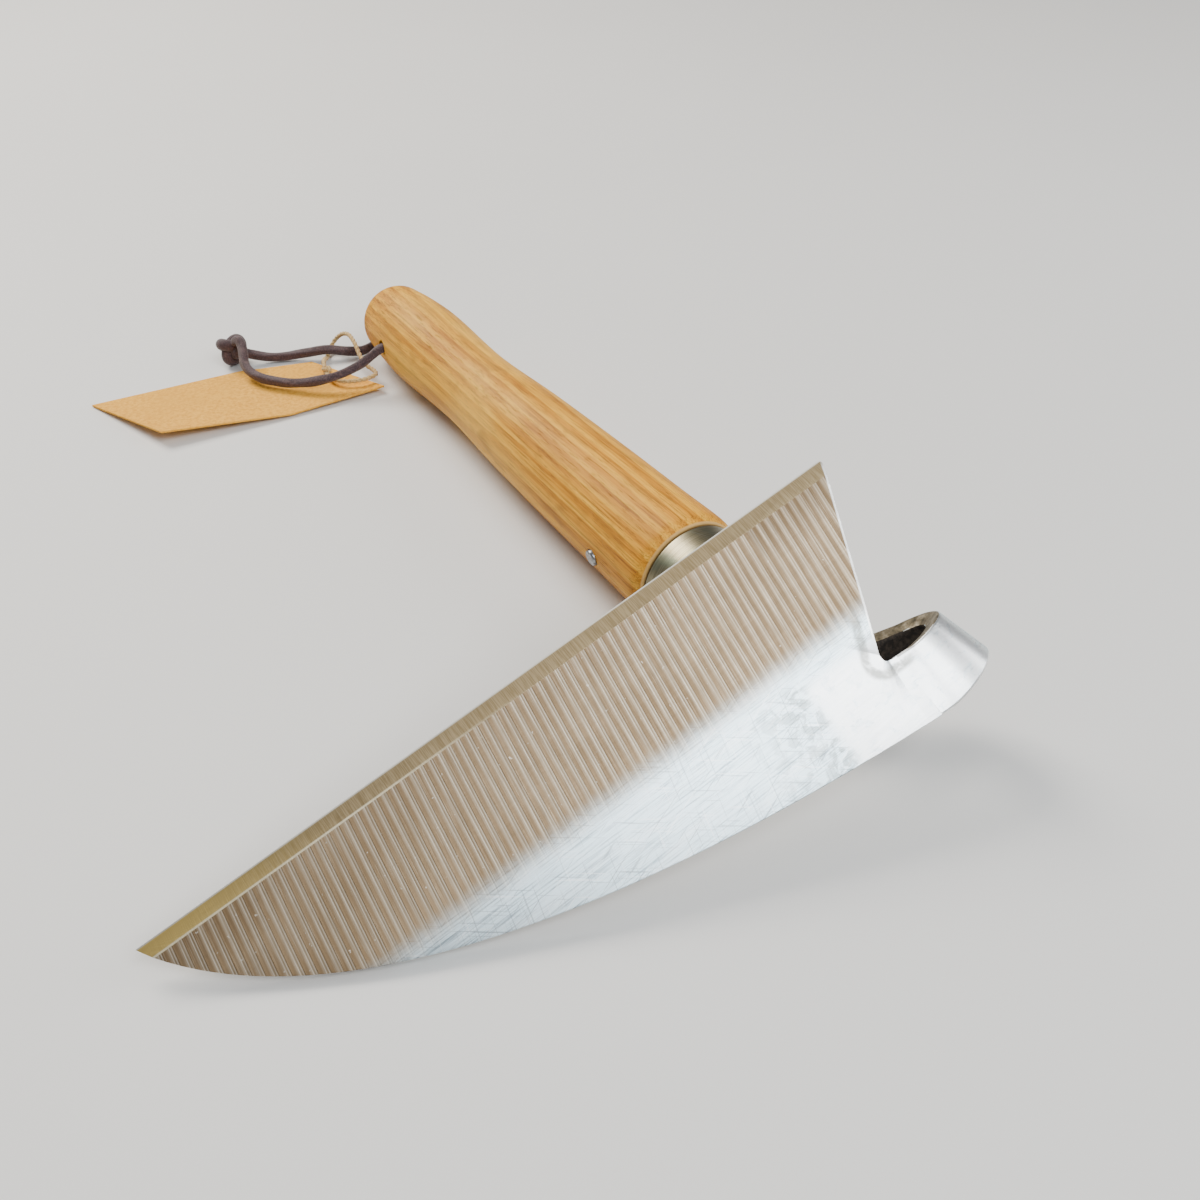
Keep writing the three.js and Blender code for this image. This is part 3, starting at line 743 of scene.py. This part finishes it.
def overhand_knot(name, centre, size, strand, material, slot, replaces=()):
    """A pulled-tight knot: one strand over and under itself three times."""
    line = []
    for k in range(120):
        t = 2 * math.pi * k / 120
        x = math.sin(t) + 2 * math.sin(2 * t)
        y = math.cos(t) - 2 * math.cos(2 * t)
        z = -math.sin(3 * t)
        line.append(centre + Vector((x, z * 1.5, y)) * size)
    bm = sweep(line, (0.3, 1, 0.2), lambda share: polar_section(lambda k, angle: strand), closed=True)
    smooth(bm, 60)
    return finished(name, bm, SURFACE, material, replaces=replaces, slot=slot)


def twine():
    """Two plies laid together: the section has two lobes and turns as it goes."""
    line = through(STRING_LOOP, 240)
    turns = length_of(line) / STRING_TURN_LENGTH

    def radius_at(k, angle):
        return STRING_DIAMETER / 2 * (0.87 + 0.13 * math.cos(2 * angle))

    def section(share):
        return polar_section(radius_at, 2 * math.pi * turns * share)

    bm = sweep(line, (1, 0, 0), section)
    smooth(bm, 70)
    piece = finished("tag_twine", bm, SURFACE, TWINE, replaces=["tag_string"], slot="string_fibre")
    return piece, [p * MM for p in line]


def tag():
    """Kraft card, creased part of the way along, with a punched hole."""
    def on_edge(edge, share):
        start, crease, end = (Vector(p) for p in edge)
        bend = 0.06
        low = start.lerp(crease, share / TAG_CREASE)
        high = crease.lerp(end, (share - TAG_CREASE) / (1 - TAG_CREASE))
        return low.lerp(high, ease(share, TAG_CREASE - bend, TAG_CREASE + bend))

    bm = bmesh.new()
    bmesh.ops.create_grid(bm, x_segments=56, y_segments=18, size=0.5)
    for vertex in bm.verts:
        along, side = vertex.co.x + 0.5, vertex.co.y + 0.5
        far, near = on_edge(TAG_FAR, along), on_edge(TAG_NEAR, along)
        vertex.co = far.lerp(near, side)
        vertex.co.z += 0.5 * math.sin(math.pi * side) * ease(along, 0.0, 0.5) * (1 - along)
        vertex.co.z -= TAG_THICKNESS / 2
    bmesh.ops.solidify(bm, geom=bm.faces, thickness=TAG_THICKNESS)
    bmesh.ops.recalc_face_normals(bm, faces=bm.faces)
    hole = rod(Vector((*TAG_HOLE, -5)), Vector((*TAG_HOLE, 15)), TAG_HOLE_RADIUS)
    bm = cut(bm, hole)
    smooth(bm, 30)
    return finished("card_tag", bm, SURFACE, CARD, replaces=["tag"], slot="tag_card")


LEATHER = leather()
TWINE = string_fibre()
CARD = kraft_card()

lace_front, front_line = lace("lace_front", THONG_FRONT + FRONT_INTO_KNOT, ["thong_front"])
lace_back, back_line = lace("lace_back", THONG_BACK + BACK_INTO_KNOT, ["thong_back"])
knot = overhand_knot("lace_knot", KNOT_CENTRE, 1.2, 1.9, LEATHER, "thong_leather", ["thong_knot"])
string, string_line = twine()
string_knot = overhand_knot(
    "twine_knot", Vector((-83.4, 97.9, 3.9)), 0.42, 0.55, TWINE, "string_fibre"
)
card = tag()

length_of(front_line)
length_of(back_line)
length_of(string_line)


# ---------------------------------------------------------------- blade
def heel_x(y):
    return EDGE_LENGTH - y * math.tan(HEEL_LEAN)


def bezier(points, count):
    """Even steps of the parameter along a Bezier curve of any degree, without its first point."""
    line = []
    for i in range(1, count + 1):
        row = [Vector(p) for p in points]
        while len(row) > 1:
            row = [a.lerp(b, i / count) for a, b in zip(row, row[1:])]
        line.append(row[0])
    return line


def blade():
    corner_y = NOTCH_Y - NOTCH_ROUNDING * math.cos(HEEL_LEAN)
    low = Vector((heel_x(corner_y), corner_y, 0))
    turned_in = heel_x(HEEL_CORNER * math.cos(HEEL_LEAN))
    below_corner = Vector((turned_in, HEEL_CORNER * math.cos(HEEL_LEAN), 0))
    outline = [Vector((0, 0, 0)), Vector((EDGE_LENGTH - HEEL_CORNER, 0, 0))]
    outline += bezier((outline[-1], (EDGE_LENGTH, 0, 0), below_corner), 6)
    outline.append(low)
    outline += bezier((low, (NOTCH_X, NOTCH_Y, 0), (NOTCH_X + NOTCH_ROUNDING, NOTCH_Y, 0)), 10)
    outline.append(Vector((SEAM_X, NOTCH_Y, 0)))
    seam = Vector((SEAM_X, BLADE_DEPTH, 0))
    outline.append(seam)
    controls = [(along * EDGE_LENGTH, rise * BLADE_DEPTH, 0) for along, rise in BACK_CONTROLS]
    outline += bezier((seam, *controls, (0, 0, 0)), 72)[:-1]

    bm = bmesh.new()
    base = bm.faces.new([bm.verts.new(p) for p in outline])
    top = bmesh.ops.extrude_face_region(bm, geom=[base])["geom"]
    rise = [v for v in top if isinstance(v, bmesh.types.BMVert)]
    bmesh.ops.translate(bm, vec=(0, 0, PLATE_THICKNESS), verts=rise)
    bmesh.ops.recalc_face_normals(bm, faces=bm.faces)

    def grind(point, normal):
        geom = bm.verts[:] + bm.edges[:] + bm.faces[:]
        made = bmesh.ops.bisect_plane(
            bm, geom=geom, dist=1e-5, plane_co=point, plane_no=normal, clear_outer=True
        )["geom_cut"]
        rim = [e for e in made if isinstance(e, bmesh.types.BMEdge)]
        bmesh.ops.edgeloop_fill(bm, edges=rim)

    drop = PLATE_THICKNESS - EDGE_THICKNESS
    slope = drop / GRIND_WIDTH
    grind((0, GRIND_WIDTH, 0), Vector((0, -slope, -1)))
    bevel_rise = BEVEL_DEPTH + slope * BEVEL_WIDTH
    grind((0, 0, drop + BEVEL_DEPTH), Vector((0, -bevel_rise / BEVEL_WIDTH, -1)))
    bmesh.ops.recalc_face_normals(bm, faces=bm.faces)

    def is_side(face):
        return abs(face.normal.z) < 0.1

    def outer_edges(test):
        found = []
        for edge in bm.edges:
            if len(edge.link_faces) == 2 and sum(is_side(f) for f in edge.link_faces) == 1:
                side = next(f for f in edge.link_faces if is_side(f))
                if test(side.normal):
                    found.append(edge)
        return found

    settings = dict(offset_type="OFFSET", affect="EDGES", profile=0.5, material=-1, clamp_overlap=True)
    back = outer_edges(lambda n: n.y > 0.1 and n.x < 0.5)
    bmesh.ops.bevel(bm, geom=back, offset=BACK_ROUNDING, segments=4, **settings)
    bm.normal_update()
    heel = outer_edges(lambda n: n.x > 0.5 and n.y > 0.2 or n.y < -0.2 and n.x > 0.2)
    bmesh.ops.bevel(bm, geom=heel, offset=HEEL_ROUNDING, segments=2, **settings)

    # Rows across the facet, then cuts along each groove.
    def slice_front(point, normal, low, high):
        faces = [
            f for f in bm.faces
            if f.normal.z < -0.9 and low - 0.01 < f.calc_center_median().y < high + 0.01
        ]
        geom = list({v for f in faces for v in f.verts}) + list({e for f in faces for e in f.edges}) + faces
        bmesh.ops.bisect_plane(bm, geom=geom, dist=1e-5, plane_co=point, plane_no=normal)

    fade_low, fade_high = GROOVE_FADE
    for y in (fade_high, GRIND_WIDTH - 1.5, fade_low, 20.0, 12.0):
        slice_front((0, y, 0), Vector((0, 1, 0)), BEVEL_WIDTH, BLADE_DEPTH)
    way = Vector((math.cos(GROOVE_LEAN), math.sin(GROOVE_LEAN), 0))
    step = GROOVE_PITCH * math.cos(GROOVE_LEAN)
    count = int(EDGE_LENGTH / GROOVE_PITCH) + 9
    for k in range(count):
        for share in GROOVE_CUTS:
            slice_front(way * (k + share) * step, way, BEVEL_WIDTH, fade_high)

    bm.normal_update()
    on_ridge = set()
    for vertex in {v for f in bm.faces if f.normal.z < -0.9 for v in f.verts}:
        if BEVEL_WIDTH - 0.05 < vertex.co.y < fade_high - 0.05:
            phase = (vertex.co.dot(way) / step + 0.001) % 1.0
            strength = 1 - ease(vertex.co.y, fade_low, fade_high)
            vertex.co.z += GROOVE_DEPTH * 4 * phase * (1 - phase) * strength
            if phase < 0.01:
                on_ridge.add(vertex)
    bmesh.ops.triangulate(bm, faces=[f for f in bm.faces if len(f.verts) > 4])
    bm.normal_update()
    smooth(bm, 28)
    for edge in bm.edges:
        if all(v in on_ridge for v in edge.verts):
            edge.smooth = False
    return finished("blade_plate", bm, BLADE, STEEL, replaces=["blade"], slot="blade_steel")


# ---------------------------------------------------------------- neck and tang
def neck():
    strap_y = BLADE_DEPTH - STRAP_WIDTH / 2
    bend_top = STRAP_THICKNESS / 2 + BEND_RADIUS
    points = [
        Vector((SEAM_X - 3, strap_y - 0.3, PLATE_THICKNESS / 2)),
        Vector((SEAM_X + 4, strap_y + 0.15, STRAP_THICKNESS / 2)),
    ]
    for i in range(7):
        turned = math.radians(-90 + 30 * i)
        climb = strap_y - 0.3 - RETURN_DROP * i / 6
        x = BEND_X + BEND_RADIUS * math.cos(turned)
        points.append(Vector((x, climb, bend_top + BEND_RADIUS * math.sin(turned))))
    meet = WOOD_END + AXIS * -42
    points.append(Vector((HANDLE_X + 9, meet.y + 4.5, meet.z + 0.8)))
    points += [WOOD_END + AXIS * s for s in (-34, -22, -10, 0, 30, TANG_DEPTH - GAP)]
    line = through(points, 260)
    length = length_of(line)
    free = 1 - (TANG_DEPTH + FERRULE_LENGTH) / length

    def section(share):
        rounding = ease(share, 0.42 * free, 0.9 * free)
        thickening = ease(share, 0, 0.08 * free)
        bend = ease(share, 0.05 * free, 0.3 * free)
        tang = ease(share, free, 1)
        across = 2 * (TANG_SHOULDER + (TANG_TIP_RADIUS - TANG_SHOULDER) * tang)
        width = STRAP_WIDTH - STRAP_NARROWING * bend
        thickness = PLATE_THICKNESS + (STRAP_THICKNESS - PLATE_THICKNESS) * thickening
        width += (across - width) * rounding
        thickness += (across - thickness) * rounding
        corner = BACK_ROUNDING + 0.25 * bend
        return strap_section(width, thickness, corner, rounding)

    bm = sweep(line, (0, 1, 0), section)
    geom = bm.verts[:] + bm.edges[:] + bm.faces[:]
    made = bmesh.ops.bisect_plane(
        bm, geom=geom, dist=1e-5, plane_co=(SEAM_X, 0, 0), plane_no=(-1, 0, 0)
    )["geom_cut"]
    inner = [
        f for f in bm.faces
        if f.calc_center_median().x < SEAM_X and f.calc_center_median().z < STRAP_THICKNESS
        and f.calc_center_median().y > strap_y - STRAP_WIDTH / 2 - 1
    ]
    bmesh.ops.delete(bm, geom=inner, context="FACES")
    rim = [e for e in made if isinstance(e, bmesh.types.BMEdge) and e.is_valid and e.is_boundary]
    bmesh.ops.edgeloop_fill(bm, edges=rim)
    bmesh.ops.recalc_face_normals(bm, faces=bm.faces)
    smooth(bm, 50)
    for face in bm.faces:
        centre = face.calc_center_median()
        rough = abs(face.normal.y) > 0.75 and centre.x > SEAM_X + 3 and centre.z < 2 * bend_top
        # Faces that look into the bend get the painted shade.
        inside = (
            centre.x > SEAM_X + 1 and abs(face.normal.y) < 0.7
            and STRAP_THICKNESS - 1 < centre.z < 2 * bend_top - STRAP_THICKNESS + 1
            and (Vector((BEND_X - 4, centre.y, bend_top)) - centre).dot(face.normal) > 0
        )
        face.material_index = 1 if rough else 2 if inside else 0
    return finished("neck_strap", bm, BLADE, STEEL, EDGE_STEEL, BEND_SHADE, replaces=["neck"], slot="neck_steel")


# ---------------------------------------------------------------- handle, ferrule and pin
def handle_profile():
    """Radius and height pairs of the outside, from the rim by the ferrule to the rounded butt."""
    # The plain numbers are rings between the named ones, which steer the curve.
    butt_start = HANDLE_LENGTH - BUTT_DOME
    rings = [
        (HANDLE_END_RADIUS, RIM_ROUNDING, 0), (14.35, 1.9, 0), (FRONT_RADIUS, FRONT_FROM_RIM, 0),
        (14.3, 17.3, 0), (GRIP_RADIUS, GRIP_FROM_RIM, 0), (13.09, 77.7, 0),
        (WAIST_RADIUS, HANDLE_LENGTH - WAIST_FROM_BUTT, 0),
        (FLARE_RADIUS, HANDLE_LENGTH - FLARE_FROM_BUTT, 0), (12.3, 155.0, 0), (BUTT_RADIUS, butt_start, 0),
    ]
    profile = [(p.x, p.y) for p in through(rings, 90)]
    for i in range(1, 15):
        turned = math.pi / 2 * i / 14
        radius = BUTT_RADIUS * math.cos(turned) if i < 14 else 0.0
        profile.append((radius, butt_start + BUTT_DOME * math.sin(turned)))
    return profile


def across_handle(turned):
    return Vector((math.cos(turned), math.sin(turned), 0))


def handle():
    bore = TANG_BULGE * TANG_SHOULDER + GAP
    bore_end = TANG_DEPTH + GAP
    spigot = FERRULE_RADIUS - FERRULE_WALL - GAP
    rim = HANDLE_END_RADIUS - RIM_ROUNDING
    profile = [
        (0, bore_end), (bore * BORE_END_SHARE, bore_end), (bore, TANG_DEPTH * BORE_STRAIGHT),
        (bore, -SPIGOT_LENGTH), (spigot - SPIGOT_CHAMFER, -SPIGOT_LENGTH),
        (spigot, SPIGOT_CHAMFER - SPIGOT_LENGTH), (spigot, 0.0),
    ]
    for turned in (0.0, 0.4, 0.8, 1.2):
        height = RIM_ROUNDING - RIM_ROUNDING * math.cos(turned)
        profile.append((rim + RIM_ROUNDING * math.sin(turned), height))
    bm = lathe(profile + handle_profile(), 112)
    centre = Vector((0, 0, HANDLE_LENGTH - THONG_HOLE_FROM_BUTT))
    thong_way = across_handle(THONG_HOLE_TURN) * 18
    pin_centre = Vector((0, 0, PIN_FROM_END))
    pin_way = across_handle(PIN_TURN) * 24
    bm = cut(
        bm,
        rod(centre - thong_way, centre + thong_way, THONG_HOLE_RADIUS),
        rod(pin_centre - pin_way, pin_centre + pin_way, PIN_RADIUS + 0.12),
    )
    smooth(bm, 40)
    return finished("turned_handle", bm, HANDLE, WOOD, replaces=["handle"], slot="handle_wood")


def ferrule():
    inner = FERRULE_RADIUS - FERRULE_WALL
    hole = TANG_BULGE * TANG_SHOULDER + 2 * GAP
    floor = -FERRULE_LENGTH + FERRULE_WALL
    profile = [
        (FERRULE_RADIUS - FERRULE_EDGE_BREAK, -GAP), (inner, -GAP), (inner, floor), (hole, floor),
        (hole, -FERRULE_LENGTH),
    ]
    for i in range(11):
        turned = math.pi / 2 * i / 10
        x = FERRULE_RADIUS - FERRULE_NOSE + FERRULE_NOSE * math.sin(turned)
        profile.append((x, -FERRULE_LENGTH + FERRULE_NOSE - FERRULE_NOSE * math.cos(turned)))
    profile.append((FERRULE_RADIUS, -GAP - FERRULE_EDGE_BREAK))
    bm = lathe(profile, 96, closed=True)
    smooth(bm, 40)
    return finished("ferrule_cap", bm, HANDLE, FERRULE, replaces=["ferrule"], slot="ferrule_steel")


def cross_pin():
    centre = Vector((0, 0, PIN_FROM_END))
    way = across_handle(PIN_TURN) * (FRONT_RADIUS - WOOD_FALL_AT_PIN + PIN_PROUD)
    bm = rod(centre - way, centre + way, PIN_RADIUS, 40)
    ends = [e for e in bm.edges if len(e.link_faces) == 2 and e.calc_face_angle(0) > 1.0]
    bmesh.ops.bevel(
        bm, geom=ends, offset=PIN_HEAD_ROUNDING, offset_type="OFFSET", affect="EDGES", segments=4,
        profile=0.5, material=-1, clamp_overlap=True,
    )
    smooth(bm, 50)
    return finished("riveted_pin", bm, HANDLE, PIN, replaces=["cross_pin"], slot="pin_steel")


STEEL = steel()
EDGE_STEEL = strap_edge()
BEND_SHADE = paint_bend_shade()
WOOD = wood()
FERRULE = ferrule_steel()
PIN = pin_steel()
blade()
neck()
handle()
ferrule()
cross_pin()


# ---------------------------------------------------------------- floor and light
def floor():
    bm = bmesh.new()
    bmesh.ops.create_grid(bm, x_segments=1, y_segments=1, size=4.0)
    piece = to_object("floor", bm)
    f = Finish("pale_floor", SURFACE)
    mottled = f.noise(f.x * 0.004, f.y * 0.004, 0.0, 3.0)
    f.set(Base_Color=f.blend((0.70, 0.69, 0.67), (0.76, 0.75, 0.73), mottled), Roughness=0.6)
    piece.data.materials.append(f.material)


def area_light(name, place, target, size, power, colour):
    data = bpy.data.lights.new(name, "AREA")
    data.shape = "RECTANGLE"
    data.size, data.size_y = size
    data.energy = power
    data.color = colour
    light = bpy.data.objects.new(name, data)
    light.location = place
    light.rotation_euler = (Vector(target) - Vector(place)).to_track_quat("-Z", "Y").to_euler()
    bpy.context.scene.collection.objects.link(light)


def world(colour, strength):
    sky = bpy.data.worlds.new("soft_room")
    sky.use_nodes = True
    background = sky.node_tree.nodes["Background"]
    background.inputs["Color"].default_value = (*colour, 1)
    background.inputs["Strength"].default_value = strength
    bpy.context.scene.world = sky


floor()
area_light("window", (-0.60, 0.62, 0.85), (0, 0, 0), (0.55, 0.55), 17, (1.0, 0.95, 0.87))
area_light("front_card", (0.44, -0.56, 0.84), (0.06, -0.08, 0), (0.60, 0.60), 10, (0.93, 0.97, 1.0))
area_light("side_card", (0.85, 0.05, 0.42), (0.06, -0.08, 0.02), (0.45, 0.45), 3.0, (0.95, 0.97, 1.0))
area_light("top_card", (-0.2, 0.35, 1.2), (0, 0, 0), (0.8, 0.8), 2, (1.0, 0.97, 0.92))
world((0.90, 0.92, 0.96), 0.27)
